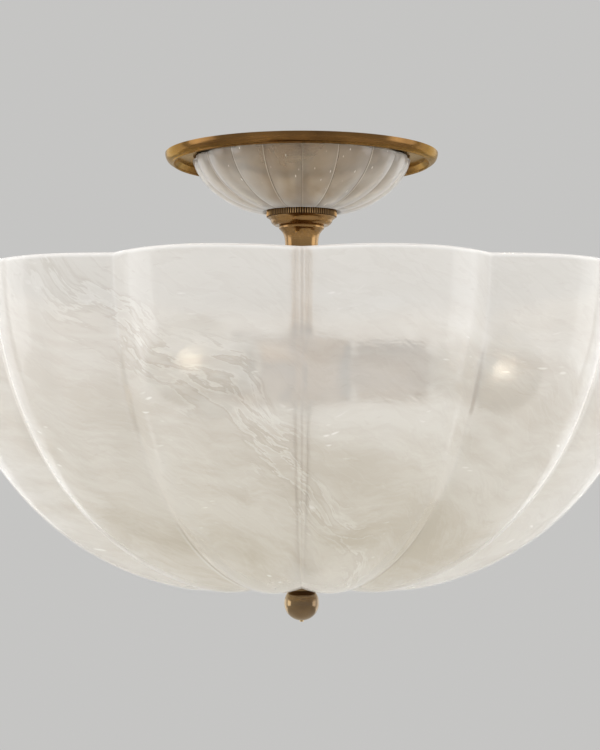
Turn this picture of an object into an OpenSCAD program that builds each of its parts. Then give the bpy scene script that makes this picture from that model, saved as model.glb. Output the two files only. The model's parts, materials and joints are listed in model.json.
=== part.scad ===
// Semi-flush ceiling light with a lobed glass bowl, in millimetres.
// The origin is the centre of the strap's upper face, in the plane of the ceiling, and +Z points up.
// Creases of both glasses start at the front, at -Y, and the first socket points along +X.

/* [Ceiling strap] */
// Spacing of the two slots that take the outlet box screws
slot_spacing = 88.9; // [76:0.1:96]
// Length of each slot from end to end
slot_l = 14; // [8:0.5:18]
// Width of each slot
slot_w = 4.8; // [4:0.1:6]
// Metal left past each slot
strap_end = 3; // [2:0.5:8]
// Width of the strap
strap_w = 19; // [17:0.5:26]
// Thickness of the strap
strap_t = 1.6; // [1.2:0.1:2]
// Distance of the grounding screw from the stem
ground_x = 20; // [16:0.5:24]
// Shank diameter of the grounding screw
ground_d = 4.8; // [4:0.1:6]
// Head diameter of the grounding screw
ground_head_d = 9.5; // [8:0.1:11]
// Head height of the grounding screw
ground_head_h = 3; // [2:0.1:4]

/* [Stem] */
// Outside diameter of the stem tube
stem_d = 9.6; // [8:0.1:10]
// Bore of the stem tube, which carries the wires
stem_bore_d = 6.4; // [4:0.1:6.8]
// Length of stem that stands out of the top locknut
stem_proud = 2.4; // [1:0.1:6]
// Length of stem inside the hub, below its top wall
stem_in_hub = 7; // [5:0.5:10]
// Width across the flats of the locknuts on the stem
nut_af = 14; // [13:0.5:16]
// Height of the locknuts on the stem
nut_h = 3.2; // [2.5:0.1:4]
// Radial clearance of a thread or pin in its hole
thread_gap = 0.05; // [0.02:0.01:0.1]

/* [Canopy pan] */
// Outside diameter of the brass pan at the ceiling
pan_d = 193.4; // [180:0.2:220]
// Depth of the pan from the ceiling to the bottom of its bead
pan_depth = 7.4; // [6.5:0.1:12]
// Wall of the pan
pan_wall = 1.2; // [0.8:0.1:1.6]
// Width of the rounded lip between the edge and the bead
lip_w = 5; // [4:0.1:8]
// Diameter of the bead along the lip
bead_d = 1.8; // [1.7:0.1:3]
// Slope of the pan's inner wall, measured along the radius
pan_lean = 2.4; // [0.5:0.1:4]
// Width of the two windows under the slots
window_w = 11; // [10:0.5:14]
// Diameter of the washer under the pan
pan_washer_d = 24; // [18:0.5:34]
// Thickness of the washer under the pan
pan_washer_t = 1.2; // [0.8:0.1:2]

/* [Glass dome] */
// Diameter of the glass dome at its rim, along the creases
dome_d = 150; // [134:0.2:166]
// Depth of the dome along its creases
dome_depth = 39.2; // [38:0.1:50]
// Depth of the recess in the dome's foot that is the collar's seat
dome_recess = 4.4; // [3:0.1:6]
// Radial room around the collar in that recess
dome_seat_room = 0.7; // [0.4:0.1:1.5]
// Width of the slope around the recess
dome_seat_slope = 2.4; // [1.5:0.1:4]
// Distance from the recess over which the flutes fade out
flute_fade = 8; // [4:0.5:16]
// Squareness of the crease's curve towards the rim, where 2 is an ellipse
dome_square_out = 2.66; // [2.2:0.01:3]
// Squareness of the crease's curve towards the foot
dome_square_down = 1.5; // [1.3:0.01:2]
// Fullness of the flutes across, where a lower value is fuller
flute_fullness = 0.8; // [0.7:0.01:1.2]
// Number of flutes around the dome
flute_count = 18; // [12:1:24]
// How far each flute swells out of its creases
flute_h = 2.2; // [1:0.1:3]
// Wall of the dome
dome_wall = 4; // [3:0.1:5]
// Diameter of the dome's hole
dome_hole_d = 13; // [11:0.5:16]
// Thickness of the gasket along the dome's rim
rim_gasket_t = 1; // [0.6:0.1:2]
// Thickness of the gasket between the dome and the collar
collar_gasket_t = 1; // [0.6:0.1:2]

/* [Collar and neck] */
// Diameter of the knurled collar
collar_d = 49.8; // [44:0.2:56]
// Height of the knurled collar
collar_h = 5.5; // [4:0.1:8]
// Number of ridges in the knurl
knurl_count = 90; // [60:2:120]
// Depth of the knurl
knurl_depth = 0.5; // [0.3:0.05:0.8]
// Bevel along both edges of the knurl
knurl_bevel = 0.6; // [0.3:0.1:1]
// Height of the flange ring below the collar
flange_h = 5.6; // [4:0.1:9]
// Diameter of the flange ring at its lower edge
flange_foot_d = 38.2; // [34:0.2:42]
// Swell of the flange ring's curved face
flange_ogee = 0.1; // [0:0.01:0.14]
// Diameter of the neck's upper lip
neck_lip_d = 32.2; // [26:0.2:33]
// Height of the neck's upper lip
neck_lip_h = 2.6; // [1.5:0.1:4]
// Diameter of the neck at its foot
neck_foot_d = 23.2; // [18:0.2:25]
// Height of the neck from its lip to its foot
neck_h = 17.6; // [14:0.2:22]
// Length over which the neck draws in below its lip
neck_draw = 3.2; // [2:0.1:5]

/* [Socket cluster] */
// Depth of the sockets' axes below the ceiling
cluster_drop = 154; // [148:1:158]
// Diameter of the round hub
hub_d = 74; // [70:1:76]
// Height of the hub's straight wall
hub_h = 43; // [38:0.5:46]
// Wall of the hub
hub_wall = 2; // [1.5:0.1:2.5]
// Rise of the hub's conical top
hub_rise = 6; // [4:0.5:8]
// Drop of the hub's dished cap
cap_drop = 5; // [3.5:0.5:8]
// Diameter of the flare that covers the stem's foot
flare_d = 21; // [20:0.5:30]
// Height of the flare
flare_h = 12; // [8:0.5:14]
// Distance of the socket bosses' faces from the stem
boss_reach = 39.5; // [38.5:0.5:42]
// Diameter of the socket bosses
boss_d = 24; // [18:0.5:30]
// Outside diameter of the socket cups
cup_d = 43; // [40:0.5:46]
// Length of the socket cups
cup_l = 51; // [46:0.5:54]
// Wall of the socket cups
cup_wall = 1.2; // [0.8:0.1:1.4]
// Diameter of the threaded nipple behind each socket
nipple_d = 9.6; // [8:0.1:10]
// Bore of each nipple
nipple_bore_d = 6.4; // [5:0.1:7]
// Length of each nipple inside its socket
nipple_in_socket = 9; // [6:0.5:11]
// Diameter of the screws that hold the hub's cap
cap_screw_d = 3.5; // [3:0.1:4]
// Depth of the cap screws' holes in the hub
cap_screw_l = 8; // [5:0.5:10]

/* [Bulbs] */
// Diameter of the bulb's screw base
base_d = 26.2; // [25.6:0.1:26.6]
// Length of the bulb's screw base
base_l = 22; // [20:0.5:23]
// Height of the black insulator at the base's end
foot_h = 3; // [2:0.1:4]
// Thickness of the sheet of screw bases and screw shells
shell_t = 0.5; // [0.4:0.05:0.6]
// Diameter of the bulb's round envelope
bulb_d = 60; // [54:1:64]
// Length of the bulb over all, from its contact to its crown
bulb_l = 109; // [104:1:112]
// Wall of the bulb's envelope
bulb_wall = 1; // [0.8:0.1:1.4]

/* [Glass bowl] */
// Depth of the bowl's rim below the ceiling
rim_drop = 93.5; // [86:0.5:100]
// Diameter of the bowl at its rim, along the creases
bowl_d = 458.2; // [450:0.2:500]
// How far each lobe swells out of its creases at the rim
lobe_h = 24.9; // [12:0.1:30]
// Number of lobes around the bowl
lobe_count = 12; // [8:1:14]
// Depth that the curve of the bowl's side would reach without its level floor
bowl_depth = 216.9; // [200:0.1:226]
// How far the level floor stands above that depth
floor_rise = 4.5; // [2:0.1:8]
// Height over which the side eases into the floor
floor_ease = 5.4; // [3:0.1:9]
// Depth of the recess in the floor that is the seat of the finial washer
bowl_recess = 2; // [1:0.1:3]
// Radial room around the finial washer in that recess
bowl_seat_room = 2.1; // [1:0.1:4]
// Width of the slope around the recess
bowl_seat_slope = 5; // [3:0.5:8]
// Distance from the recess over which the lobes fade out
lobe_fade = 42.5; // [20:0.5:60]
// Squareness of the crease's curve towards the rim, where 2 is an ellipse
bowl_square_out = 2.422; // [2:0.001:2.8]
// Squareness of the crease's curve towards the floor
bowl_square_down = 1.903; // [1.6:0.001:2.2]
// Fullness of the lobes across, where a lower value is fuller
lobe_fullness = 0.88; // [0.7:0.01:1.2]
// Wall of the bowl
bowl_wall = 6.5; // [5:0.1:8]
// Diameter of the bowl's hole
bowl_hole_d = 12; // [10:0.5:14]

/* [Rod and finial] */
// Diameter of the lower rod
rod_d = 6.4; // [6:0.1:8]
// Length of rod inside the finial
rod_in_finial = 11; // [9:0.5:13]
// Length of rod inside the hub
rod_in_hub = 9; // [7.5:0.5:12]
// Width across the flats of the nuts on the rod
rod_nut_af = 13; // [12:0.5:15]
// Height of the nuts on the rod
rod_nut_h = 5; // [4:0.1:6]
// Diameter of the stop washer inside the bowl
stop_washer_d = 30; // [24:0.5:34]
// Thickness of the stop washer
stop_washer_t = 1.5; // [1:0.1:2.5]
// Diameter of the rubber washers on both sides of the bowl
rubber_d = 27; // [22:0.5:29]
// Thickness of the rubber washers
rubber_t = 1.5; // [1:0.1:2.5]
// Diameter of the thin finial washer
finial_washer_d = 29.8; // [25:0.2:33]
// Thickness of the finial washer
finial_washer_t = 1.2; // [0.8:0.1:1.6]
// Diameter of the ball finial
ball_d = 24.6; // [22:0.2:30]
// Depth of the ball's centre below the top of its shoulder, as a share of its radius
ball_share = 0.83; // [0.75:0.01:0.9]
// Diameter of the short shoulder on top of the ball
shoulder_d = 16.4; // [14:0.2:17]
// Height of the shoulder
shoulder_h = 1.6; // [1.2:0.1:3]
// Diameter of the pin set in the bottom of the ball
tip_d = 2.8; // [2:0.1:4]
// Length of the pin that shows
tip_l = 0.8; // [0.4:0.1:1.5]

/* [Hidden] */
SOCKETS = [1, 2, 3];

$fn = 64;
// Overshoot of every cut past the faces that it opens
cut = 1;
// Radial clearance of a loose piece on what passes through it
loose = 0.4;
// Steps of a computed curve
curve_steps = 12;
// Height of the centre contact, and how far the screw shell reaches past the base's end
contact_h = 1.5;
// How far the socket's insulating body stands back from the cup's mouth
core_recess = 2;
// How deep the envelope's neck and the insulator's plug reach into the bulb's base
neck_in_base = 6;
plug_h = 1;
// How deep the pin is set in the ball
tip_seat = 3;
// Steps of the glasses across one lobe or flute, and their rows outside and inside
lobe_segments = 8;
bowl_outer_rows = [13, 66, 5];
bowl_inner_rows = [9, 66, 3];
flute_segments = 6;
dome_outer_rows = [8, 72, 3];
dome_inner_rows = [4, 72, 2];

stem_r = stem_d / 2;
rod_r = rod_d / 2;
strap_l = slot_spacing + slot_l + 2 * strap_end;

// Heights, from the ceiling down
stem_top_z = nut_h + stem_proud;
pan_under_z = -strap_t - pan_wall;
pan_nut_z = pan_under_z - pan_washer_t - nut_h;
dome_rim_z = pan_under_z - rim_gasket_t;
dome_seat = dome_depth - dome_recess;
dome_seat_z = dome_rim_z - dome_seat;
collar_top_z = dome_seat_z - collar_gasket_t;
flange_top_z = collar_top_z - collar_h;
neck_top_z = flange_top_z - flange_h;
hub_wall_top_z = hub_h / 2 - cluster_drop;
hub_top_z = hub_wall_top_z + hub_rise;
hub_foot_z = hub_wall_top_z - hub_h;
cap_foot_z = hub_foot_z - cap_drop;
rod_top_z = cap_foot_z + hub_wall + rod_in_hub;
floor_depth = bowl_depth - floor_rise;
bowl_seat = floor_depth - bowl_recess;
bowl_seat_z = -rim_drop - bowl_seat;
bowl_inside_z = bowl_seat_z + bowl_wall;
stop_washer_z = bowl_inside_z + rubber_t;
stop_nut_z = stop_washer_z + stop_washer_t;
finial_washer_z = bowl_seat_z - rubber_t - finial_washer_t;
ball_z = finial_washer_z - ball_share * ball_d / 2;
rod_end_z = finial_washer_z - rod_in_finial;

// Distances from the stem along a socket's axis, from the hub outward
pad_reach = sqrt(pow(hub_d / 2 - hub_wall, 2) - pow(boss_d / 2, 2)) - 0.5;
core_reach = boss_reach + cup_wall;
mouth_reach = boss_reach + cup_l;
base_reach = mouth_reach - base_l;
foot_reach = base_reach - foot_h;
well_reach = foot_reach - contact_h;
shell_reach = base_reach - contact_h;
core_end_reach = mouth_reach - core_recess;
bulb_end_reach = foot_reach + bulb_l;
base_r = base_d / 2;
base_bore_r = base_r - shell_t - thread_gap;
shell_r = base_r + thread_gap + shell_t;

// Shared shapes

module ring(r, bore_r, h) {
    difference() {
        cylinder(r = r, h = h);
        translate([0, 0, -cut]) cylinder(r = bore_r, h = h + 2 * cut);
    }
}

module hex_nut(af, h, bore_r) {
    difference() {
        cylinder(d = af / cos(30), h = h, $fn = 6);
        translate([0, 0, -cut]) cylinder(r = bore_r, h = h + 2 * cut);
    }
}

module slot(width, h) {
    run = slot_l - slot_w;
    translate([-run / 2, -width / 2, 0]) cube([run, width, h]);
    for (side = [-1, 1])
        translate([side * run / 2, 0, 0]) cylinder(d = width, h = h);
}

// A shape built along +Z, laid along the axis of socket n with its foot at distance reach
module at_socket(n, reach) {
    rotate([0, 0, (n - 1) * 120])
        translate([reach, 0, -cluster_drop])
            rotate([0, 90, 0])
                children();
}

// Lobed glass. The crease line is a superellipse, and the lobes swell along its normal.
// spec: [0 radius, 1 depth, 2 squareness out, 3 squareness down, 4 floor start, 5 floor depth,
//        6 seat depth, 7 seat radius, 8 radius where the seat blends out, 9 lobe height,
//        10 radius where the lobes are full, 11 lobe count, 12 lobe fullness]
function smooth(x) =
    let (c = max(0, min(1, x)))
    c * c * (3 - 2 * c);

function levelled(d, start, floor) =
    d <= start ? d : start + (floor - start) * (1 - exp((start - d) / (floor - start)));

function crease_point(s, t) =
    let (r = s[0] * pow(cos(t), 2 / s[2]))
    let (d = levelled(s[1] * pow(sin(t), 2 / s[3]), s[4], s[5]))
    [r, -(s[6] + (d - s[6]) * smooth((r - s[7]) / (s[8] - s[7])))];

function crease_normal(s, t) =
    let (step = 0.05)
    let (v = crease_point(s, min(t + step, 90)) - crease_point(s, max(t - step, 0)))
    t <= 0 ? [1, 0] : [-v[1], v[0]] / norm(v);

function lobe_swell(s, r) =
    let (fade = max(0, min(1, (r - s[7]) / (s[10] - s[7]))))
    s[9] * pow(r / s[0], 1.5) * fade;

function lobed_ring(s, t, inset, segments) =
    let (p = crease_point(s, t))
    let (n = crease_normal(s, t))
    let (count = s[11] * segments)
    [for (j = [0 : count - 1])
        let (turn = 360 * j / count)
        let (swell = lobe_swell(s, p[0]) * pow(abs(sin(turn * s[11] / 2)), s[12]) - inset)
        let (r = p[0] + n[0] * swell)
        [r * sin(turn), -r * cos(turn), p[1] + n[1] * swell]];

// Angle on the superellipse at which the crease has radius r
function angle_at(s, r) = acos(pow(r / s[0], s[2] / 2));

// Rows from the rim to the hole: even steps down the side, then even steps across the floor.
// rows: [steps down the side, angle at which the side ends, steps across the floor]
function glass_rows(s, rows, hole_r) =
    let (side_r = s[0] * pow(cos(rows[1]), 2 / s[2]))
    let (floor_step = (s[8] - side_r) / rows[2])
    concat(
        [for (i = [0 : rows[0]]) rows[1] * i / rows[0]],
        [for (i = [1 : rows[2]]) angle_at(s, side_r + floor_step * i)],
        [angle_at(s, (s[7] + s[8]) / 2), angle_at(s, s[7]), angle_at(s, hole_r)]);

module lobed_glass(s, wall, segments, outer, inner) {
    rows = concat(
        [for (t = outer) lobed_ring(s, t, 0, segments)],
        [for (i = [len(inner) - 1 : -1 : 0]) lobed_ring(s, inner[i], wall, segments)]);
    m = len(rows);
    k = len(rows[0]);
    points = [for (row = rows) for (p = row) p];
    faces = [for (i = [0 : m - 1], j = [0 : k - 1])
        let (a = i * k + j)
        let (b = i * k + (j + 1) % k)
        let (c = ((i + 1) % m) * k + (j + 1) % k)
        let (d = ((i + 1) % m) * k + j)
        for (f = [[a, b, c], [a, c, d]]) f];
    polyhedron(points = points, faces = faces);
}

// Mounting parts

module ceiling_strap() {
    color("silver")
    difference() {
        translate([-strap_l / 2, -strap_w / 2, -strap_t]) cube([strap_l, strap_w, strap_t]);
        translate([0, 0, -strap_t - cut])
            cylinder(r = stem_r + thread_gap, h = strap_t + 2 * cut);
        translate([-ground_x, 0, -strap_t - cut])
            cylinder(d = ground_d + 2 * thread_gap, h = strap_t + 2 * cut);
        for (side = [-1, 1])
            translate([side * slot_spacing / 2, 0, -strap_t - cut]) slot(slot_w, strap_t + 2 * cut);
    }
}

module ground_screw() {
    drive_w = 1.2;
    color("green")
    translate([-ground_x, 0, -strap_t])
    union() {
        cylinder(d = ground_d, h = strap_t + ground_head_h / 2);
        translate([0, 0, strap_t])
            difference() {
                cylinder(d = ground_head_d, h = ground_head_h);
                translate([-ground_head_d, -drive_w / 2, ground_head_h - drive_w])
                    cube([2 * ground_head_d, drive_w, 2 * drive_w]);
            }
    }
}

module stem_tube() {
    foot_z = hub_top_z - hub_wall - stem_in_hub;
    color("goldenrod")
    translate([0, 0, foot_z]) ring(stem_r, stem_bore_d / 2, stem_top_z - foot_z);
}

module strap_locknut() {
    color("silver") hex_nut(nut_af, nut_h, stem_r + thread_gap);
}

// Canopy

module canopy_pan() {
    r = pan_d / 2;
    bead_r = r - lip_w;
    bead_z = bead_d / 2 - pan_depth;
    inner_lip = lip_w - pan_wall;
    plate_r = bead_r - pan_wall - pan_lean;
    outside = [for (i = [0 : curve_steps])
        let (a = 90 - 90 * i / curve_steps)
        [r - lip_w * (1 - cos(a)), bead_z * sin(a)]];
    inside = [for (i = [0 : curve_steps])
        let (a = 90 * i / curve_steps)
        [r - pan_wall - inner_lip * (1 - cos(a)), (bead_z + pan_wall) * sin(a)]];
    profile = concat(
        [[stem_r + loose, -strap_t], [stem_r + loose, pan_under_z], [plate_r, pan_under_z],
            [bead_r - pan_wall, bead_z]],
        outside, inside, [[plate_r + pan_wall, -strap_t]]);
    color("goldenrod")
    difference() {
        union() {
            rotate_extrude($fn = 96) polygon(profile);
            rotate_extrude($fn = 96)
                translate([bead_r - pan_wall / 2, bead_z]) circle(d = bead_d, $fn = 24);
        }
        for (side = [-1, 1])
            translate([side * slot_spacing / 2, 0, pan_under_z - cut])
                slot(window_w, pan_wall + 2 * cut);
    }
}

module pan_washer() {
    color("silver")
    translate([0, 0, pan_under_z - pan_washer_t])
        ring(pan_washer_d / 2, stem_r + loose, pan_washer_t);
}

module pan_locknut() {
    color("silver") translate([0, 0, pan_nut_z]) hex_nut(nut_af, nut_h, stem_r + thread_gap);
}

module rim_gasket() {
    color("dimgray")
    translate([0, 0, dome_rim_z]) ring(dome_d / 2, dome_d / 2 - dome_wall, rim_gasket_t);
}

// The collar stands in a recess of the dome, whose curve has no level floor
dome_seat_r = collar_d / 2 + dome_seat_room;
dome_spec = [dome_d / 2, dome_depth, dome_square_out, dome_square_down, dome_depth, dome_depth + 1,
    dome_seat, dome_seat_r, dome_seat_r + dome_seat_slope, flute_h, dome_seat_r + flute_fade,
    flute_count, flute_fullness];

module glass_dome() {
    color("gainsboro")
    translate([0, 0, dome_rim_z])
        lobed_glass(dome_spec, dome_wall, flute_segments,
            glass_rows(dome_spec, dome_outer_rows, dome_hole_d / 2),
            glass_rows(dome_spec, dome_inner_rows, dome_hole_d / 2));
}

module collar_gasket() {
    color("dimgray")
    translate([0, 0, collar_top_z]) ring(collar_d / 2 - 2, dome_hole_d / 2, collar_gasket_t);
}

// Collar, flange and neck turn together on the stem

module knurled_collar() {
    r = collar_d / 2;
    knurl = [for (i = [0 : 2 * knurl_count - 1])
        let (ridge = r - knurl_depth * (i % 2))
        let (a = 180 * i / knurl_count)
        [ridge * cos(a), ridge * sin(a)]];
    past = 0.5;
    bevel_end = knurl_bevel + past;
    bevelled = [[0, 0], [r - knurl_bevel, 0], [r + past, bevel_end], [r + past, collar_h - bevel_end],
        [r - knurl_bevel, collar_h], [0, collar_h]];
    color("darkgoldenrod")
    translate([0, 0, flange_top_z])
    difference() {
        intersection() {
            linear_extrude(height = collar_h) polygon(knurl);
            rotate_extrude() polygon(bevelled);
        }
        translate([0, 0, -cut]) cylinder(r = stem_r + thread_gap, h = collar_h + 2 * cut);
    }
}

module flange_ring() {
    top_r = collar_d / 2 - knurl_bevel;
    foot_r = flange_foot_d / 2;
    bore_r = stem_r + thread_gap;
    ogee = [for (i = [0 : curve_steps])
        let (s = i / curve_steps)
        [top_r - (top_r - foot_r) * (s + flange_ogee * sin(360 * s)), -flange_h * s]];
    color("goldenrod")
    translate([0, 0, flange_top_z])
        rotate_extrude()
            polygon(concat([[bore_r, 0]], ogee, [[bore_r, -flange_h]]));
}

module trumpet_neck() {
    lip_r = neck_lip_d / 2;
    foot_r = neck_foot_d / 2;
    bore_r = stem_r + thread_gap;
    roll = 0.4;
    run = neck_h - neck_lip_h;
    lip = [for (i = [0 : 4])
        let (a = 90 - 180 * i / 4)
        [lip_r - roll + roll * cos(a), -neck_lip_h / 2 * (1 - sin(a))]];
    draw = [for (i = [1 : curve_steps])
        let (d = run * pow(i / curve_steps, 1.5))
        [foot_r + (lip_r - roll - foot_r) * exp(-d / neck_draw), -neck_lip_h - d]];
    color("goldenrod")
    translate([0, 0, neck_top_z])
        rotate_extrude()
            polygon(concat([[bore_r, 0]], lip, draw, [[bore_r, -neck_h]]));
}

// Hub

module stem_flare() {
    top_r = stem_r + 1.2;
    bore_r = stem_r + thread_gap;
    sweep = [for (i = [0 : curve_steps])
        let (s = i / curve_steps)
        [top_r + (flare_d / 2 - top_r) * pow(s, 2.4), flare_h * (1 - s)]];
    color("goldenrod")
    translate([0, 0, hub_top_z])
        rotate_extrude()
            polygon(concat([[bore_r, flare_h]], sweep, [[bore_r, 0]]));
}

// Cap screws stand between the sockets, in lugs along the hub's wall
cap_screw_reach = hub_d / 2 - hub_wall - cap_screw_d;

module at_cap_screw(n) {
    rotate([0, 0, (n - 0.5) * 120])
        translate([cap_screw_reach, 0, hub_foot_z])
            children();
}

module hub_profile(r, top_r, foot, shoulder, top) {
    rotate_extrude() polygon([[0, foot], [r, foot], [r, shoulder], [top_r, top], [0, top]]);
}

module hub_body() {
    r = hub_d / 2;
    top_r = flare_d / 2;
    lug_h = cap_screw_l + 2;
    color("goldenrod")
    difference() {
        union() {
            difference() {
                hub_profile(r, top_r, hub_foot_z, hub_wall_top_z, hub_top_z);
                hub_profile(r - hub_wall, top_r, hub_foot_z - cut, hub_wall_top_z - hub_wall,
                    hub_top_z - hub_wall);
            }
            for (n = SOCKETS)
                at_socket(n, pad_reach) cylinder(d = boss_d, h = boss_reach - pad_reach);
            for (n = SOCKETS)
                at_cap_screw(n) cylinder(d = 2.4 * cap_screw_d, h = lug_h);
        }
        translate([0, 0, hub_top_z - hub_wall - cut])
            cylinder(r = stem_r + thread_gap, h = hub_wall + 2 * cut);
        for (n = SOCKETS)
            at_socket(n, pad_reach - cut)
                cylinder(d = nipple_d + 2 * thread_gap, h = boss_reach - pad_reach + 2 * cut);
        for (n = SOCKETS)
            at_cap_screw(n)
                translate([0, 0, -cut])
                    cylinder(d = cap_screw_d + 2 * thread_gap, h = cap_screw_l + cut);
    }
}

module hub_locknut() {
    color("silver")
    translate([0, 0, hub_top_z - hub_wall - nut_h]) hex_nut(nut_af, nut_h, stem_r + thread_gap);
}

module hub_cap() {
    r = hub_d / 2;
    flat_r = cap_screw_reach - 1.3 * cap_screw_d;
    dish_r = rod_nut_af;
    bore_r = rod_r + thread_gap;
    color("goldenrod")
    difference() {
        translate([0, 0, hub_foot_z])
            rotate_extrude()
                polygon([[bore_r, -cap_drop], [dish_r, -cap_drop], [flat_r, -hub_wall],
                    [r, -hub_wall], [r, 0], [flat_r, 0], [dish_r, hub_wall - cap_drop],
                    [bore_r, hub_wall - cap_drop]]);
        for (n = SOCKETS)
            at_cap_screw(n)
                translate([0, 0, -hub_wall - cut])
                    cylinder(d = cap_screw_d + 2 * thread_gap, h = hub_wall + 2 * cut);
    }
}

module cap_screws() {
    head_h = 2;
    color("goldenrod")
    for (n = SOCKETS)
        at_cap_screw(n)
            translate([0, 0, -hub_wall - head_h])
            union() {
                cylinder(d = 2 * cap_screw_d, h = head_h);
                cylinder(d = cap_screw_d, h = head_h + hub_wall + cap_screw_l - 0.5);
            }
}

// Sockets

module socket_nipples() {
    foot = pad_reach - nut_h - 1;
    color("silver")
    for (n = SOCKETS)
        at_socket(n, foot)
            ring(nipple_d / 2, nipple_bore_d / 2, core_reach + nipple_in_socket - foot);
}

module socket_nuts() {
    color("silver")
    for (n = SOCKETS)
        at_socket(n, pad_reach - nut_h) hex_nut(nut_af, nut_h, nipple_d / 2 + thread_gap);
}

module socket_cup(n) {
    color("goldenrod")
    at_socket(n, boss_reach)
    difference() {
        cylinder(d = cup_d, h = cup_l);
        translate([0, 0, cup_wall]) cylinder(d = cup_d - 2 * cup_wall, h = cup_l);
        translate([0, 0, -cut]) cylinder(d = nipple_d + 2 * thread_gap, h = cup_wall + 2 * cut);
    }
}

module socket_core(n) {
    core_r = cup_d / 2 - cup_wall - loose;
    core_l = core_end_reach - core_reach;
    well_r = base_r - 2;
    color("ivory")
    at_socket(n, core_reach)
    difference() {
        cylinder(r = core_r, h = core_l);
        translate([0, 0, -cut])
            cylinder(d = nipple_d + 2 * thread_gap, h = nipple_in_socket + 2 + cut);
        translate([0, 0, well_reach - core_reach]) cylinder(r = well_r, h = core_l);
        translate([0, 0, shell_reach - core_reach]) cylinder(r = shell_r + thread_gap, h = core_l);
    }
}

module screw_shell(n) {
    color("gold")
    at_socket(n, shell_reach)
        ring(shell_r, base_r + thread_gap, core_end_reach - shell_reach - 1);
}

module socket_contacts() {
    contact_r = 5;
    color("gold")
    for (n = SOCKETS)
        at_socket(n, well_reach) cylinder(r = contact_r, h = contact_h);
}

// Bulbs, which turn out of the sockets along their own axes

module bulb_base(n) {
    color("silver") at_socket(n, base_reach) ring(base_r, base_r - shell_t, base_l);
}

module bulb_foot(n) {
    tip_r = 4.5;
    shoulder_r = base_r - 3.5;
    rim_r = base_r - shell_t / 2;
    color("black")
    at_socket(n, foot_reach)
        rotate_extrude()
            polygon([[0, 0], [tip_r, 0], [shoulder_r, 0.6 * foot_h], [rim_r, foot_h],
                [base_bore_r, foot_h], [base_bore_r, foot_h + plug_h], [0, foot_h + plug_h]]);
}

// Half profile of the envelope from its neck to its crown, shrunk by inset.
// An S-curve leads from the neck to the ball and meets it at the angle shoulder.
function bulb_profile(inset) =
    let (r = bulb_d / 2)
    let (shoulder = 25)
    let (centre = bulb_end_reach - r - mouth_reach)
    let (run = centre - r * sin(shoulder))
    let (rise = r * cos(shoulder) - base_bore_r)
    let (slope = tan(shoulder) * run / (2 * rise))
    concat(
        [[base_bore_r - inset, -neck_in_base]],
        [for (i = [0 : curve_steps])
            let (u = i / curve_steps)
            let (s_curve = u * u * (3 - 2 * u) * (1 - slope * u) + slope * u * u * u)
            [base_bore_r + rise * s_curve - inset, run * u]],
        [for (i = [1 : curve_steps])
            let (a = -shoulder + (90 + shoulder) * i / curve_steps)
            [(r - inset) * cos(a), centre + (r - inset) * sin(a)]]);

module bulb_glass(n) {
    outer = bulb_profile(0);
    inner = bulb_profile(bulb_wall);
    color("white")
    at_socket(n, mouth_reach)
        rotate_extrude()
            polygon(concat(outer, [for (i = [len(inner) - 1 : -1 : 0]) inner[i]]));
}

// Rod, bowl and finial

module lower_rod() {
    color("goldenrod") translate([0, 0, rod_end_z]) cylinder(r = rod_r, h = rod_top_z - rod_end_z);
}

module rod_nuts() {
    color("silver")
    for (z = [cap_foot_z - rod_nut_h, cap_foot_z + hub_wall])
        translate([0, 0, z]) hex_nut(rod_nut_af, rod_nut_h, rod_r + thread_gap);
}

module stop_nut() {
    color("goldenrod")
    translate([0, 0, stop_nut_z]) hex_nut(rod_nut_af, rod_nut_h, rod_r + thread_gap);
}

module stop_washer() {
    color("goldenrod")
    translate([0, 0, stop_washer_z]) ring(stop_washer_d / 2, rod_r + thread_gap, stop_washer_t);
}

module inner_rubber() {
    color("dimgray")
    translate([0, 0, bowl_inside_z]) ring(rubber_d / 2, rod_r + loose, rubber_t);
}

// The finial washer stands in a recess of the bowl's floor
bowl_seat_r = finial_washer_d / 2 + bowl_seat_room;
bowl_spec = [bowl_d / 2, bowl_depth, bowl_square_out, bowl_square_down, floor_depth - floor_ease,
    floor_depth, bowl_seat, bowl_seat_r, bowl_seat_r + bowl_seat_slope, lobe_h,
    bowl_seat_r + lobe_fade, lobe_count, lobe_fullness];

module glass_bowl() {
    color("whitesmoke")
    translate([0, 0, -rim_drop])
        lobed_glass(bowl_spec, bowl_wall, lobe_segments,
            glass_rows(bowl_spec, bowl_outer_rows, bowl_hole_d / 2),
            glass_rows(bowl_spec, bowl_inner_rows, bowl_hole_d / 2));
}

module outer_rubber() {
    color("dimgray")
    translate([0, 0, bowl_seat_z - rubber_t]) ring(rubber_d / 2, rod_r + loose, rubber_t);
}

module finial_washer() {
    color("darkgoldenrod")
    translate([0, 0, finial_washer_z]) ring(finial_washer_d / 2, rod_r + loose, finial_washer_t);
}

module ball_finial() {
    r = ball_d / 2;
    ball_foot_z = ball_z - r;
    shoulder_z = finial_washer_z - shoulder_h;
    color("goldenrod")
    difference() {
        union() {
            intersection() {
                translate([0, 0, ball_z]) sphere(r = r);
                translate([0, 0, ball_foot_z - cut])
                    cylinder(r = ball_d, h = shoulder_z - ball_foot_z + cut);
            }
            translate([0, 0, shoulder_z - cut]) cylinder(d = shoulder_d, h = shoulder_h + cut);
        }
        translate([0, 0, rod_end_z - cut]) cylinder(r = rod_r + thread_gap, h = rod_in_finial + 2 * cut);
        translate([0, 0, ball_foot_z - cut]) cylinder(r = tip_d / 2 + thread_gap, h = tip_seat + cut);
    }
}

module finial_tip() {
    color("gold")
    translate([0, 0, ball_z - ball_d / 2 - tip_l]) cylinder(d = tip_d, h = tip_l + tip_seat);
}

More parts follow.
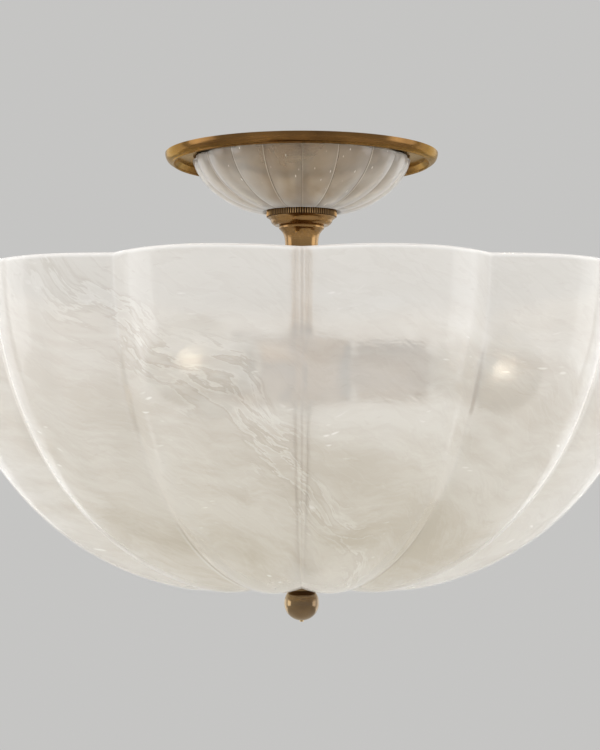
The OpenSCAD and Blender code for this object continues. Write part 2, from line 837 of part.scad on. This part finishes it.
ceiling_strap();
ground_screw();
stem_tube();
strap_locknut();
canopy_pan();
pan_washer();
pan_locknut();
rim_gasket();
glass_dome();
collar_gasket();
knurled_collar();
flange_ring();
trumpet_neck();
stem_flare();
hub_body();
hub_locknut();
hub_cap();
cap_screws();
socket_nipples();
socket_nuts();
socket_cup(1);  // socket_cup_1
socket_cup(2);  // socket_cup_2
socket_cup(3);  // socket_cup_3
socket_core(1);  // socket_core_1
socket_core(2);  // socket_core_2
socket_core(3);  // socket_core_3
screw_shell(1);  // screw_shell_1
screw_shell(2);  // screw_shell_2
screw_shell(3);  // screw_shell_3
socket_contacts();
bulb_base(1);  // bulb_base_1
bulb_base(2);  // bulb_base_2
bulb_base(3);  // bulb_base_3
bulb_foot(1);  // bulb_foot_1
bulb_foot(2);  // bulb_foot_2
bulb_foot(3);  // bulb_foot_3
bulb_glass(1);  // bulb_glass_1
bulb_glass(2);  // bulb_glass_2
bulb_glass(3);  // bulb_glass_3
lower_rod();
rod_nuts();
stop_nut();
stop_washer();
inner_rubber();
glass_bowl();
outer_rubber();
finial_washer();
ball_finial();
finial_tip();
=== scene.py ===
import json
import math

import bpy
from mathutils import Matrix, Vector


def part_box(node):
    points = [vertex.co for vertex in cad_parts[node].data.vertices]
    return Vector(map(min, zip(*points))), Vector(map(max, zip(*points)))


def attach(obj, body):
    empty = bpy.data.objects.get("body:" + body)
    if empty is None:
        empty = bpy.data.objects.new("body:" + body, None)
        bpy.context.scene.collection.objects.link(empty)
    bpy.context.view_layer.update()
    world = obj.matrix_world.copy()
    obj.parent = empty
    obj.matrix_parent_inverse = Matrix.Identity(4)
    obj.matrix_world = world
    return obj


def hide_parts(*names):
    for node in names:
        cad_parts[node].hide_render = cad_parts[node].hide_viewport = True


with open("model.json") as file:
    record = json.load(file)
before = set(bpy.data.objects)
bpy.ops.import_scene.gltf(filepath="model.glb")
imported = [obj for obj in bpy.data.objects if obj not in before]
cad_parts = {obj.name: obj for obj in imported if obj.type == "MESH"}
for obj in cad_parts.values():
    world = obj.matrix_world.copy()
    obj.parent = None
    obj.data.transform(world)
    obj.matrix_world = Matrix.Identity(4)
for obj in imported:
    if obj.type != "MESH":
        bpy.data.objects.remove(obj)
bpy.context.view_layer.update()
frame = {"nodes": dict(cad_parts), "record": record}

NODES = frame["nodes"]
MM = 0.001
SURROUND_LIGHT = (0.88, 0.87, 0.85)
BACKDROP = (0.56, 0.557, 0.548)
LAMP_AIM = (0.0, 0.0, -0.2)

# The two glasses, in millimetres: lobes swell outwards from a creased body between an ellipse and a box.
BOWL = dict(radius=229.1, depth=216.9, square_out=2.422, square_down=1.903, floor=(207.0, 212.4),
            seat_depth=210.4, seat_r=17.0, seat_end=22.0, lobe=24.9, full_r=59.5, count=12,
            fullness=0.88, soft=0.1, wall=6.5, edge=1.4, hole_r=6.0)
DOME = dict(radius=75.0, depth=39.2, square_out=2.66, square_down=1.5, floor=(39.2, 40.2),
            seat_depth=34.8, seat_r=25.6, seat_end=28.0, lobe=2.2, full_r=33.6, count=18,
            fullness=0.8, soft=0.1, wall=4.0, edge=0.8, hole_r=6.5)


# Camera and stage

def make_camera():
    """The photograph's camera: level with the bowl's lower half and pitched up a little."""
    distance = 1.4415
    height = -0.2416
    pitch = 0.0588
    axis_offset = 0.00113
    data = bpy.data.cameras.new("camera")
    data.sensor_fit = "HORIZONTAL"
    data.sensor_width = 36.0
    data.lens = 122.74
    data.clip_end = 60.0
    camera = bpy.data.objects.new("camera", data)
    camera.location = (-axis_offset, -distance, height)
    camera.rotation_euler = (math.pi / 2 + pitch, 0.0, 0.0)
    bpy.context.scene.collection.objects.link(camera)
    bpy.context.scene.camera = camera


def make_world():
    """An even pale surround, alike for the camera, in gloss and through glass, and brighter as light."""
    world = bpy.data.worlds.new("studio")
    bpy.context.scene.world = world
    world.use_nodes = True
    tree = world.node_tree
    light = tree.nodes["Background"]
    light.inputs["Color"].default_value = (*SURROUND_LIGHT, 1.0)
    backdrop = tree.nodes.new("ShaderNodeBackground")
    backdrop.inputs["Color"].default_value = (*BACKDROP, 1.0)
    paths = tree.nodes.new("ShaderNodeLightPath")
    seen = paths.outputs["Is Camera Ray"]
    for ray in ("Is Glossy Ray", "Is Transmission Ray"):
        either = tree.nodes.new("ShaderNodeMath")
        either.operation = "MAXIMUM"
        tree.links.new(seen, either.inputs[0])
        tree.links.new(paths.outputs[ray], either.inputs[1])
        seen = either.outputs[0]
    mix = tree.nodes.new("ShaderNodeMixShader")
    tree.links.new(seen, mix.inputs["Fac"])
    tree.links.new(light.outputs[0], mix.inputs[1])
    tree.links.new(backdrop.outputs[0], mix.inputs[2])
    tree.links.new(mix.outputs[0], tree.nodes["World Output"].inputs["Surface"])


def make_floor():
    """A round pale floor, low enough for views from below the light."""
    radius = 8.0
    depth = -2.7
    segments = 64
    turns = [2 * math.pi * i / segments for i in range(segments)]
    ring = [(radius * math.cos(turn), radius * math.sin(turn), depth) for turn in turns]
    mesh = bpy.data.meshes.new("floor")
    mesh.from_pydata(ring, [], [list(range(segments))])
    floor = bpy.data.objects.new("floor", mesh)
    bpy.context.scene.collection.objects.link(floor)
    mat = speckled("floor_paint", (0.66, 0.65, 0.63), (0.62, 0.61, 0.59), 3.0, roughness=0.9)
    mesh.materials.append(mat)


def make_lamp(name, place, target, size, power, mirrored=True):
    """An area lamp that lights glass without being seen through it, and may be mirrored in gloss."""
    data = bpy.data.lights.new(name, "AREA")
    data.shape = "RECTANGLE"
    data.size, data.size_y = size
    data.energy = power
    lamp = bpy.data.objects.new(name, data)
    lamp.visible_camera = False
    lamp.visible_glossy = mirrored
    lamp.visible_transmission = False
    lamp.location = place
    lamp.rotation_euler = (Vector(target) - Vector(place)).to_track_quat("-Z", "Y").to_euler()
    bpy.context.scene.collection.objects.link(lamp)


def make_lamps():
    """Two lamps at the sides, two behind, and a low one in front that shines straight up."""
    make_lamp("key_left", (-2.7, 0.05, 0.2), LAMP_AIM, (1.5, 2.4), 19.0)
    make_lamp("key_right", (2.7, 0.1, 0.1), LAMP_AIM, (1.5, 2.4), 17.0)
    make_lamp("rim_left", (-1.95, 2.0, 0.0), LAMP_AIM, (2.0, 3.2), 16.0)
    make_lamp("rim_right", (2.0, 1.95, 0.0), LAMP_AIM, (2.0, 3.2), 16.0)
    make_lamp("fill_low", (0.0, -2.2, -1.5), (0.0, -2.2, 0.0), (3.6, 0.8), 9.0, mirrored=False)


# Node helpers

class Shader:
    """A Principled material whose colour, roughness and bump come from nodes."""

    def __init__(self, name):
        self.mat = bpy.data.materials.new(name)
        self.mat.use_nodes = True
        self.tree = self.mat.node_tree
        self.bsdf = self.tree.nodes["Principled BSDF"]
        self.coordinates = self.tree.nodes.new("ShaderNodeTexCoord")

    def set(self, **values):
        """Uniform values, set on the shader's own sockets."""
        for key, value in values.items():
            self.bsdf.inputs[key.replace("_", " ").title().replace("Ior", "IOR")].default_value = value

    def node(self, kind, links=None, **values):
        """A node; a value goes to the socket of its name, or else to the node's own setting."""
        made = self.tree.nodes.new("ShaderNode" + kind)
        for key, value in values.items():
            if key in made.inputs:
                made.inputs[key].default_value = value
            else:
                setattr(made, key, value)
        for key, source in (links or {}).items():
            self.tree.links.new(source, made.inputs[key])
        return made

    def place(self, scale=(1.0, 1.0, 1.0)):
        """Object coordinates, scaled."""
        return self.mapped(self.coordinates.outputs["Object"], Scale=scale)

    def mapped(self, vector, **values):
        """A vector, scaled or turned."""
        return self.node("Mapping", {"Vector": vector}, **values).outputs["Vector"]

    def pair(self, x, y):
        """A flat vector of two sockets."""
        return self.node("CombineXYZ", {"X": x, "Y": y}).outputs["Vector"]

    def round_axis(self):
        """Angle about the vertical axis from the front, distance from it, and height, as sockets."""
        split = self.node("SeparateXYZ", {"Vector": self.coordinates.outputs["Object"]})
        x, y, z = split.outputs
        angle = self.math("ARCTAN2", x, self.math("MULTIPLY", y, -1.0))
        squares = self.math("ADD", self.math("MULTIPLY", x, x), self.math("MULTIPLY", y, y))
        return angle, self.math("SQRT", squares), z

    def noise(self, vector, scale, detail=4.0, distortion=0.0, roughness=0.5):
        return self.node("TexNoise", {"Vector": vector}, Scale=scale, Detail=detail,
                         Distortion=distortion, Roughness=roughness).outputs["Fac"]

    def remap(self, value, low, high, to_low=0.0, to_high=1.0):
        """The value's range from low to high, stretched over the new one and held at its ends."""
        made = self.node("MapRange", {"Value": value}, clamp=True)
        made.inputs["From Min"].default_value = low
        made.inputs["From Max"].default_value = high
        made.inputs["To Min"].default_value = to_low
        made.inputs["To Max"].default_value = to_high
        return made.outputs["Result"]

    def mix(self, fac, a, b):
        """Colour a where fac is 0 and b where it is 1; each is a colour or a socket."""
        made = self.tree.nodes.new("ShaderNodeMix")
        made.data_type = "RGBA"
        self.tree.links.new(fac, made.inputs["Factor"])
        colours = [socket for socket in made.inputs if socket.type == "RGBA"]
        for socket, value in zip(colours, (a, b)):
            if isinstance(value, bpy.types.NodeSocket):
                self.tree.links.new(value, socket)
            else:
                socket.default_value = (*value, 1.0)
        return [socket for socket in made.outputs if socket.type == "RGBA"][0]

    def math(self, operation, a, b=0.0):
        """The result of a Math node; a and b are numbers or sockets."""
        made = self.tree.nodes.new("ShaderNodeMath")
        made.operation = operation
        for socket, value in zip(made.inputs, (a, b)):
            if isinstance(value, bpy.types.NodeSocket):
                self.tree.links.new(value, socket)
            else:
                socket.default_value = value
        return made.outputs[0]

    def times(self, first, *others):
        """The product of numbers and sockets."""
        for other in others:
            first = self.math("MULTIPLY", first, other)
        return first

    def aside(self, angle):
        """How far a place lies to the side of the front or the back, from 0 to 1."""
        return self.math("ABSOLUTE", self.math("SINE", angle))

    def link(self, name, socket):
        self.tree.links.new(socket, self.bsdf.inputs[name])

    def colour(self, socket):
        self.link("Base Color", socket)

    def roughness(self, socket):
        self.link("Roughness", socket)

    def glow(self, strength):
        """Light of the surface's own colour."""
        self.link("Emission Color", self.bsdf.inputs["Base Color"].links[0].from_socket)
        self.bsdf.inputs["Emission Strength"].default_value = strength

    def bump(self, height, distance, strength=1.0):
        made = self.node("Bump", {"Height": height}, Distance=distance, Strength=strength)
        self.link("Normal", made.outputs["Normal"])


def speckled(name, light, dark, scale, roughness=0.5, bump=0.0, **values):
    """A plain surface whose colour and gloss vary softly."""
    shader = Shader(name)
    field = shader.noise(shader.place(), scale)
    shader.colour(shader.mix(shader.remap(field, 0.35, 0.65), light, dark))
    shader.roughness(shader.remap(field, 0.3, 0.7, 0.85 * roughness, 1.15 * roughness))
    if bump:
        shader.bump(field, bump)
    shader.set(**values)
    return shader.mat


# Metals

def brass(name, light, dark, roughness, coat=1.0, edge=(0.95, 0.84, 0.65)):
    """Warm brass: tone drifts over centimetres, with fine polishing lines and a few dull spots."""
    shader = Shader(name)
    drift = shader.noise(shader.place(), 22.0, detail=3.0)
    spots = shader.noise(shader.place(), 60.0, detail=5.0, roughness=0.6)
    lines = shader.noise(shader.place(scale=(1.0, 1.0, 14.0)), 900.0, detail=2.0)
    tone = shader.remap(shader.math("ADD", drift, shader.math("MULTIPLY", spots, 0.5)), 0.6, 0.95)
    shader.colour(shader.mix(tone, light, dark))
    gloss = shader.math("ADD", shader.remap(spots, 0.45, 0.75, roughness, roughness + 0.1),
                        shader.math("MULTIPLY", lines, 0.04))
    shader.roughness(gloss)
    shader.bump(lines, 0.00002, 0.6)
    shader.set(metallic=1.0, coat_weight=coat, coat_roughness=0.06, specular_tint=(*edge, 1.0))
    return shader.mat


def knurled_brass():
    """Brass with painted shade that darkens it towards the bottoms of the knurl's grooves."""
    low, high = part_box("knurled_collar")
    ridge_r = (high.x - low.x) / 2
    groove = 0.3 * MM
    shader = Shader("knurled_brass")
    radius = shader.round_axis()[1]
    depth = shader.remap(radius, ridge_r - groove, ridge_r)
    # Painted shade: near black at the groove bottoms, full brass on the ridges.
    shader.colour(shader.mix(depth, (0.04, 0.02, 0.01), (0.55, 0.34, 0.15)))
    shader.roughness(shader.remap(depth, 0.0, 1.0, 0.5, 0.2))
    shader.set(metallic=1.0)
    return shader.mat


# Glass

def crease_shade_and_highlight(shader, angle, radius, count, width, spread=None):
    """Painted shade and painted highlight along each crease: a thin dark line and a thin light one beside
    it, each from 0 to 1.
    """
    wave = shader.math("SINE", shader.times(angle, count / 2))
    arc = shader.times(wave, shader.times(radius, 2 / count))
    if spread is not None:
        arc = shader.math("DIVIDE", arc, spread)
    dark = shader.remap(shader.math("ABSOLUTE", arc), 0.0, width, 1.0, 0.0)
    beside = shader.math("ABSOLUTE", shader.math("SUBTRACT", arc, 1.3 * width))
    light = shader.remap(beside, 0.0, width, 1.0, 0.0)
    return dark, light


def streaks(shader, source, across, along, detail, rough):
    """Noise drawn out along the surface; across and along are how fine it is."""
    stretched = shader.mapped(source, Scale=(along, across, 1.0))
    return shader.noise(stretched, 1.0, detail=detail, roughness=rough)


def flowed_surface(shader, angle, height):
    """The bowl's surface laid flat and pulled about as glass flows, and the noise that pulls it."""
    arc_scale = 0.22
    pull_by = (0.05, 0.07, 0.0)
    flat = shader.pair(shader.times(angle, arc_scale), height)
    warp = shader.node("TexNoise", {"Vector": flat}, Scale=9.0, Detail=3.0)
    pull = shader.node("VectorMath", {0: warp.outputs["Color"]}, operation="MULTIPLY")
    pull.inputs[1].default_value = pull_by
    bent = shader.node("VectorMath", {0: flat, 1: pull.outputs[0]}, operation="ADD").outputs[0]
    return bent, warp.outputs["Fac"]


def milkiness(shader, level, height):
    """Clouds and mottle, calmer near the rim, from 0 to 1."""
    clouds = shader.math("SUBTRACT", streaks(shader, level, 15.0, 4.0, 6.0, 0.55), 0.5)
    mottle = shader.math("SUBTRACT", streaks(shader, level, 100.0, 26.0, 7.0, 0.65), 0.5)
    tone = shader.math("ADD", clouds, shader.times(mottle, 0.6))
    calm = shader.remap(height, -0.115, -0.165, 0.15, 1.0)
    return shader.remap(shader.times(tone, calm), -0.12, 0.08)


def bowl_tint(shader, milk, height, aside):
    """Thin and thick glass; both are warmer and darker low down, least of all at the sides, which painted
    light keeps paler.
    """
    thin_high, thin_low = (0.75, 0.72, 0.68), (0.63, 0.59, 0.51)
    thick_high, thick_low = (0.83, 0.815, 0.79), (0.73, 0.7, 0.64)
    # Painted light: the darkening low down is held back at the sides, so they stay paler.
    low = shader.times(shader.remap(height, -0.15, -0.27), shader.remap(aside, 0.6, 0.95, 1.0, 0.3))
    thin = shader.mix(low, thin_high, thin_low)
    thick = shader.mix(low, thick_high, thick_low)
    return shader.mix(milk, thin, thick)


def add_tears(shader, colour, torn, angle, height, warp):
    """Three bands of dark and light shreds that wind round the bowl and fall to the right."""
    bands = 3.0
    fall_per_radian = 0.197
    start = 1.73
    shred_dark, shred_light = (0.56, 0.52, 0.455), (0.92, 0.91, 0.88)
    drift = shader.times(shader.math("SUBTRACT", warp, 0.5), 0.9)
    climb = shader.math("ADD", shader.math("DIVIDE", height, fall_per_radian), drift)
    course = shader.math("ADD", shader.math("ADD", angle, climb), start)
    band = shader.remap(shader.math("SINE", shader.times(course, bands)), 0.87, 0.99)
    share = shader.remap(band, 0.0, 1.0, 0.08, 0.42)
    ripped = shader.times(shader.remap(torn, 0.49, 0.51), shader.remap(torn, 0.57, 0.51))
    lit = shader.times(shader.remap(torn, 0.45, 0.485), shader.remap(torn, 0.5, 0.49))
    colour = shader.mix(shader.times(ripped, share), colour, shred_dark)
    return shader.mix(shader.times(lit, share), colour, shred_light)


def add_dashes(shader, colour, bent, fall):
    """Small pale dashes, in sparse patches."""
    cells = shader.mapped(bent, Scale=(60.0, 260.0, 1.0))
    dot_field = shader.node("TexVoronoi", {"Vector": cells}, Scale=1.0, Randomness=1.0)
    sparse = shader.remap(streaks(shader, fall, 24.0, 16.0, 2.0, 0.5), 0.57, 0.64)
    glint = shader.times(shader.remap(dot_field.outputs["Distance"], 0.2, 0.1), sparse)
    return shader.mix(glint, colour, (0.97, 0.96, 0.94))


def add_crease_shade_and_highlight(shader, colour, angle, radius, height, aside):
    """Painted shade and painted highlight along the creases at the sides, and fainter ones at the bowl's
    foot.
    """
    width = 0.0009
    spread = shader.remap(aside, 0.4, 0.9, 1.0, 2.0)
    dark, light = crease_shade_and_highlight(shader, angle, radius, BOWL["count"], width, spread)
    foot = shader.times(shader.remap(aside, 0.1, 0.4, 0.1, 0.8), shader.remap(height, -0.255, -0.275))
    shown = shader.math("MAXIMUM", shader.remap(aside, 0.55, 0.85), foot)
    # Painted shade as a dark line in each crease, then a painted highlight as a light line beside it.
    colour = shader.mix(shader.times(dark, shown, 0.6), colour, (0.36, 0.32, 0.27))
    return shader.mix(shader.times(light, shown, 0.5), colour, (0.98, 0.98, 0.97))


def strie_glass():
    """Cast glass of the bowl: warm clouds, torn bands, fine grain, dashes, painted shade and highlights
    along the creases, a pale rim, and a faint painted glow.
    """
    level_turn, fall_turn = 0.16, 0.6
    shader = Shader("strie_glass")
    angle, radius, height = shader.round_axis()
    aside = shader.aside(angle)
    bent, warp = flowed_surface(shader, angle, height)
    level = shader.mapped(bent, Rotation=(0.0, 0.0, level_turn))
    fall = shader.mapped(bent, Rotation=(0.0, 0.0, fall_turn))
    grain = streaks(shader, bent, 420.0, 90.0, 4.0, 0.6)
    torn = streaks(shader, fall, 80.0, 20.0, 6.0, 0.58)
    milk = milkiness(shader, level, height)
    colour = bowl_tint(shader, milk, height, aside)
    colour = add_tears(shader, colour, torn, angle, height, warp)
    colour = shader.mix(shader.remap(grain, 0.62, 0.8, 0.0, 0.4), colour, (0.56, 0.52, 0.45))
    colour = add_dashes(shader, colour, bent, fall)
    colour = add_crease_shade_and_highlight(shader, colour, angle, radius, height, aside)
    rim = shader.remap(height, -0.0965, -0.0945)
    shader.colour(shader.mix(rim, colour, (0.97, 0.96, 0.95)))
    shader.roughness(shader.remap(milk, 0.0, 1.0, 0.05, 0.11))
    shader.bump(shader.math("ADD", shader.times(grain, 0.25), torn), 0.001, 0.25)
    shader.link("Transmission Weight", shader.remap(radius, 0.075, 0.035, 0.66, 0.95))
    # Painted light: the bowl glows faintly in its own colour, though it is no lamp.
    shader.glow(0.16)
    shader.set(ior=1.45, specular_ior_level=0.15, sheen_weight=0.3, sheen_roughness=0.22)
    return shader.mat


def clear_glass():
    """Fluted glass of the dome: smoky in front and behind, with a painted sheen that makes it paler aside,
    painted glints as small bright flecks, and painted shade and highlights along the creases.
    """
    glint_cell_size = 0.16
    shader = Shader("clear_glass")
    angle, radius, height = shader.round_axis()
    aside = shader.aside(angle)
    wave = shader.noise(shader.place(scale=(1.0, 1.0, 0.6)), 45.0, detail=5.0, distortion=0.8)
    # Painted sheen: the glass turns paler towards the sides.
    side_sheen = shader.remap(aside, 0.2, 0.6)
    thin = shader.mix(side_sheen, (0.94, 0.82, 0.65), (1.0, 0.94, 0.85))
    thick = shader.mix(side_sheen, (0.78, 0.62, 0.43), (0.9, 0.8, 0.68))
    smoke_and_painted_light = shader.mix(shader.remap(wave, 0.35, 0.65), thin, thick)
    # Painted glints: small bright flecks scattered over the dome.
    cells = shader.pair(shader.times(angle, 90.0), shader.times(height, 600.0))
    dot_field = shader.node("TexVoronoi", {"Vector": cells}, Scale=glint_cell_size, Randomness=1.0)
    painted_glint = shader.remap(dot_field.outputs["Distance"], 0.1, 0.05)
    smoke_and_painted_light = shader.mix(painted_glint, smoke_and_painted_light, (0.98, 0.95, 0.88))
    # Painted crease shade and highlight, fainter at the front and back.
    drawn = shader.remap(aside, 0.1, 0.3, 0.3, 1.0)
    dark, light = crease_shade_and_highlight(shader, angle, radius, DOME["count"], 0.0005)
    light = shader.times(light, drawn, 0.6)
    colour = shader.mix(shader.times(dark, drawn, 0.75), smoke_and_painted_light, (0.26, 0.19, 0.12))
    shader.colour(shader.mix(light, colour, (0.98, 0.94, 0.85)))
    # The painted highlight and the painted glints let less light through, so they stay bright.
    highlight_and_glints = shader.math("MAXIMUM", light, painted_glint)
    shader.link("Transmission Weight", shader.remap(highlight_and_glints, 0.0, 1.0, 0.73, 0.15))
    shader.roughness(shader.remap(wave, 0.3, 0.7, 0.06, 0.14))
    shader.bump(wave, 0.0004, 0.3)
    shader.set(ior=1.5, sheen_weight=0.85, sheen_roughness=0.5)
    return shader.mat


def frosted_glass():
    """Bulb envelopes, frosted inside, through which the lit core shows."""
    shader = Shader("frosted_glass")
    frost = shader.noise(shader.place(), 160.0, detail=4.0)
    shader.colour(shader.mix(frost, (0.84, 0.82, 0.77), (0.76, 0.73, 0.67)))
    shader.roughness(shader.remap(frost, 0.3, 0.7, 0.35, 0.5))
    shader.set(transmission_weight=0.35, ior=1.45)
    return shader.mat


def lit_core():
    """Glowing core of a bulb, its tone a little uneven."""
    shader = Shader("lit_core")
    warm = shader.noise(shader.place(), 300.0, detail=2.0)
    shader.colour(shader.mix(warm, (1.0, 0.93, 0.8), (1.0, 0.88, 0.7)))
    shader.roughness(shader.remap(warm, 0.3, 0.7, 0.4, 0.6))
    shader.glow(16.0)
    return shader.mat


# Meshes

def crease_curve(shape, angle):
    """Radius and depth of the crease line at an angle from the rim, in millimetres."""
    radius = shape["radius"] * math.cos(angle) ** (2 / shape["square_out"])
    depth = shape["depth"] * math.sin(angle) ** (2 / shape["square_down"])
    start, end = shape["floor"]
    if depth > start:
        depth = start + (end - start) * (1 - math.exp((start - depth) / (end - start)))
    inner, outer = shape["seat_r"], shape["seat_end"]
    share = min(1.0, max(0.0, (radius - inner) / (outer - inner)))
    share = share * share * (3 - 2 * share)
    return radius, shape["seat_depth"] + (depth - shape["seat_depth"]) * share


def crease_normal(shape, angle):
    """The outward normal of the crease line, as its parts outwards and upwards."""
    step = 0.001
    if angle <= 0:
        return 1.0, 0.0
    r0, d0 = crease_curve(shape, max(0.0, angle - step))
    r1, d1 = crease_curve(shape, min(math.pi / 2, angle + step))
    length = math.hypot(r1 - r0, d1 - d0)
    return (d1 - d0) / length, (r1 - r0) / length


def lobe_swell(shape, radius):
    """How far a lobe's middle stands out from the creases, fading to nothing at the seat."""
    fade = min(1.0, max(0.0, (radius - shape["seat_r"]) / (shape["full_r"] - shape["seat_r"])))
    return shape["lobe"] * (radius / shape["radius"]) ** 1.5 * fade


def lobed_row(shape, angle, inset, segments):
    """One ring of points; they gather at the creases, which are rounded, most of all at the rim."""
    radius, depth = crease_curve(shape, angle)
    out, up = crease_normal(shape, angle)
    soft = (shape["soft"] * (radius / shape["radius"]) ** 2) ** 2
    gather = 0.6
    count = shape["count"] * segments
    row = []
    for j in range(count):
        step = 2 * math.pi * j / segments
        turn = (step - gather * math.sin(step)) / shape["count"]
        wave = ((math.sin(turn * shape["count"] / 2) ** 2 + soft) / (1 + soft)) ** (shape["fullness"] / 2)
        swell = lobe_swell(shape, radius) * wave - inset
        r = radius + out * swell
        z = shape["rim_z"] - depth + up * swell
        row.append((r * math.sin(turn) * MM, -r * math.cos(turn) * MM, z * MM))
    return row


def glass_angles(shape, side_rows, side_angle, floor_rows):
    """Angles of the rows from the rim to the hole: even down the side, then even in radius."""
    side_r = shape["radius"] * math.cos(side_angle) ** (2 / shape["square_out"])
    seat_end = shape["seat_end"]
    seat_rows = 4
    radii = [side_r + (seat_end - side_r) * i / floor_rows for i in range(1, floor_rows + 1)]
    radii += [seat_end + (shape["seat_r"] - seat_end) * i / seat_rows for i in range(1, seat_rows + 1)]
    radii.append(shape["hole_r"])
    rows = [side_angle * i / side_rows for i in range(side_rows + 1)]
    rows += [math.acos((radius / shape["radius"]) ** (shape["square_out"] / 2)) for radius in radii]
    return rows


def lobed_glass(name, shape, segments, side_rows, floor_rows):
    """A closed shell: outer face, inner face, the wall of the hole, and a rim with rounded edges."""
    side_angle = math.radians(66)
    angles = glass_angles(shape, side_rows, side_angle, floor_rows)
    wall = shape["wall"]
    edge = shape["edge"]
    rows = [lobed_row(shape, angle, 0.0, segments) for angle in angles[1:]]
    rows += [lobed_row(shape, angle, wall, segments) for angle in reversed(angles[1:])]
    steps = 4
    quarter = [math.pi / 2 * i / steps for i in range(steps + 1)]
    rim = [(wall - edge * (1 - math.cos(turn)), edge * (1 - math.sin(turn))) for turn in quarter]
    rim += [(edge * (1 - math.sin(turn)), edge * (1 - math.cos(turn))) for turn in quarter]
    for inset, drop in rim:
        rows.append([(x, y, z - drop * MM) for x, y, z in lobed_row(shape, 0.0, inset, segments)])
    return grid_piece(name, rows)


def grid_piece(name, rows):
    """Rings of points joined into a closed tube, the last ring to the first."""
    columns = len(rows[0])
    faces = []
    for i in range(len(rows)):
        below = (i + 1) % len(rows)
        for j in range(columns):
            beside = (j + 1) % columns
            here, under = i * columns, below * columns
            faces.append((here + j, under + j, under + beside, here + beside))
    mesh = bpy.data.meshes.new(name)
    mesh.from_pydata([point for row in rows for point in row], [], faces)
    mesh.shade_smooth()
    piece = bpy.data.objects.new(name, mesh)
    bpy.context.scene.collection.objects.link(piece)
    return piece


def glass_shape(node, measures):
    """The measures of a lobed glass, with the rim's height from the frame."""
    return dict(measures, rim_z=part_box(node)[1].z / MM)


def make_bowl():
    shape = glass_shape("glass_bowl", BOWL)
    bowl = lobed_glass("bowl_glass", shape, segments=24, side_rows=44, floor_rows=26)
    bowl.data.materials.append(strie_glass())
    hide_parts("glass_bowl")
    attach(bowl, "bowl")


def make_dome():
    shape = glass_shape("glass_dome", DOME)
    dome = lobed_glass("dome_glass", shape, segments=16, side_rows=24, floor_rows=12)
    dome.data.materials.append(clear_glass())
    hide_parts("glass_dome")
    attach(dome, "canopy_glass")


def make_cores():
    """A rounded glowing core at the middle of each bulb's round envelope, along the bulb's axis."""
    low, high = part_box("bulb_glass_1")
    globe_r = (high.z - low.z) / 2
    reach = high.x - globe_r
    level = (high.z + low.z) / 2
    half_length = 9 * MM
    half_width = 5 * MM
    bore = 0.2 * MM
    rings = 14
    segments = 24
    finish = lit_core()
    for number in (1, 2, 3):
        turn = 2 * math.pi * (number - 1) / 3
        along = Vector((math.cos(turn), math.sin(turn), 0.0))
        across = Vector((-math.sin(turn), math.cos(turn), 0.0))
        up = Vector((0.0, 0.0, 1.0))
        rows = []
        for i in range(rings + 1):
            pitch = math.pi * i / rings
            centre = (reach - half_length * math.cos(pitch)) * along + level * up
            r = bore + half_width * math.sin(pitch) ** 0.8
            rows.append([centre + r * math.cos(2 * math.pi * j / segments) * across
                         + r * math.sin(2 * math.pi * j / segments) * up for j in range(segments)])
        core = grid_piece(f"bulb_core_{number}", rows)
        core.data.materials.append(finish)
        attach(core, f"bulb_{number}")


# Dressing of the CAD nodes

def dress():
    """Each CAD node that shows gets the finish of its slot; the two replaced glasses have none here."""
    finishes = {
        "brass": brass("brass", (0.33, 0.185, 0.06), (0.17, 0.088, 0.026), 0.16, coat=0.6),
        "finial_brass": brass("finial_brass", (0.31, 0.2, 0.08), (0.17, 0.1, 0.038), 0.1),
        "dark_brass": brass("dark_brass", (0.2, 0.12, 0.05), (0.11, 0.06, 0.025), 0.35),
        "plain_brass": brass("plain_brass", (0.6, 0.44, 0.24), (0.5, 0.35, 0.18), 0.25),
        "knurled_brass": knurled_brass(),
        "plated_steel": speckled("plated_steel", (0.62, 0.61, 0.58), (0.48, 0.47, 0.45), 180.0,
                                 roughness=0.34, metallic=1.0),
        "green_steel": speckled("green_steel", (0.05, 0.3, 0.09), (0.03, 0.2, 0.06), 220.0, roughness=0.35),
        "bulb_metal": speckled("bulb_metal", (0.78, 0.78, 0.77), (0.66, 0.66, 0.65), 240.0,
                               roughness=0.28, metallic=1.0),
        "black_glass": speckled("black_glass", (0.02, 0.02, 0.02), (0.035, 0.03, 0.03), 200.0,
                                roughness=0.12),
        "white_ceramic": speckled("white_ceramic", (0.82, 0.8, 0.74), (0.74, 0.71, 0.64), 90.0,
                                  roughness=0.4),
        "gasket_rubber": speckled("gasket_rubber", (0.05, 0.048, 0.045), (0.035, 0.033, 0.03), 300.0,
                                  roughness=0.75, bump=0.0001),
        "frosted_glass": frosted_glass(),
    }
    pan_finish = brass("pan_brass", (0.24, 0.125, 0.04), (0.12, 0.06, 0.018), 0.14, coat=0.12,
                       edge=(0.95, 0.78, 0.5))
    for part in frame["record"]["subparts"]:
        node = NODES[part["node"]]
        finish = finishes.get(part["material_slot"])
        if part["node"] == "canopy_pan":
            finish = pan_finish
        if finish is None:
            continue
        node.data.materials.clear()
        node.data.materials.append(finish)


make_camera()
make_world()
make_floor()
make_lamps()
make_bowl()
make_dome()
make_cores()
dress()

view = bpy.context.scene.view_settings
view.view_transform = "Standard"
